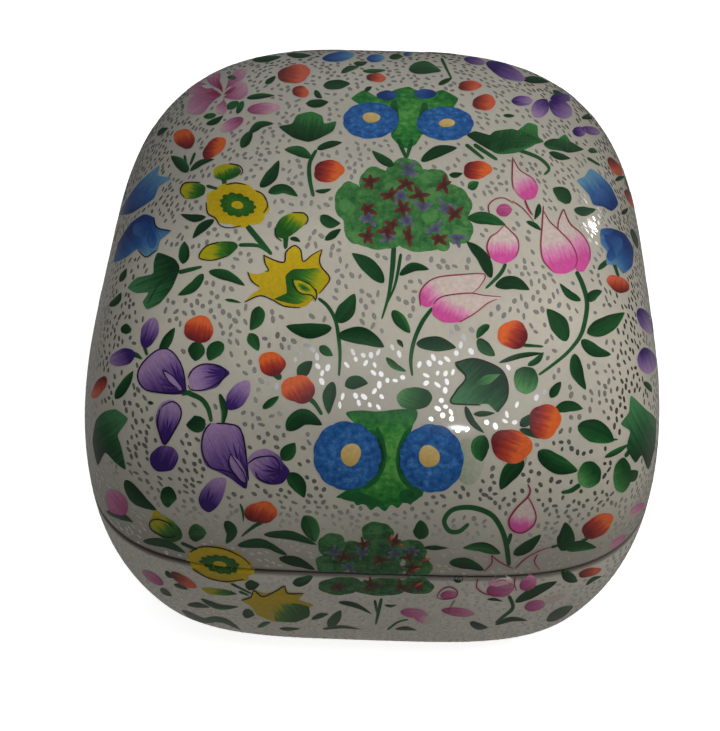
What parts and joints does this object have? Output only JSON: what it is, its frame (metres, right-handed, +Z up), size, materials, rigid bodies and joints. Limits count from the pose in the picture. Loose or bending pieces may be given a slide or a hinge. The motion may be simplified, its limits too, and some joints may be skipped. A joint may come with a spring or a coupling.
{
  "type": "lidded papier mache box",
  "caption": "Square papier mache box with rounded corners, a domed lift-off lid located by an inner collar, and a lacquered painted ground.",
  "frame": {"origin": "under the middle of the foot, on the table", "axes": "+Z up out of the crown of the lid, -Y towards the front, +X to the right seen from the front"},
  "size_m": [0.1, 0.1, 0.0874],
  "materials": {
    "black_pulp": "brushed black paint under thin lacquer, over paper pulp",
    "painted_ground": "cream chalk ground with painted flowers and silver dashes under gloss lacquer"
  },
  "bodies": {
    "base": {"base_shell": "black_pulp", "base_coat": "painted_ground", "rim_collar": "black_pulp"},
    "lid": {"lid_shell": "black_pulp", "lid_coat": "painted_ground"}
  },
  "joints": [
    {"name": "lid_lift", "type": "slide", "parent": "base", "child": "lid", "axis": [0, 0, 1], "range_m": [0, 0.08]}
  ]
}
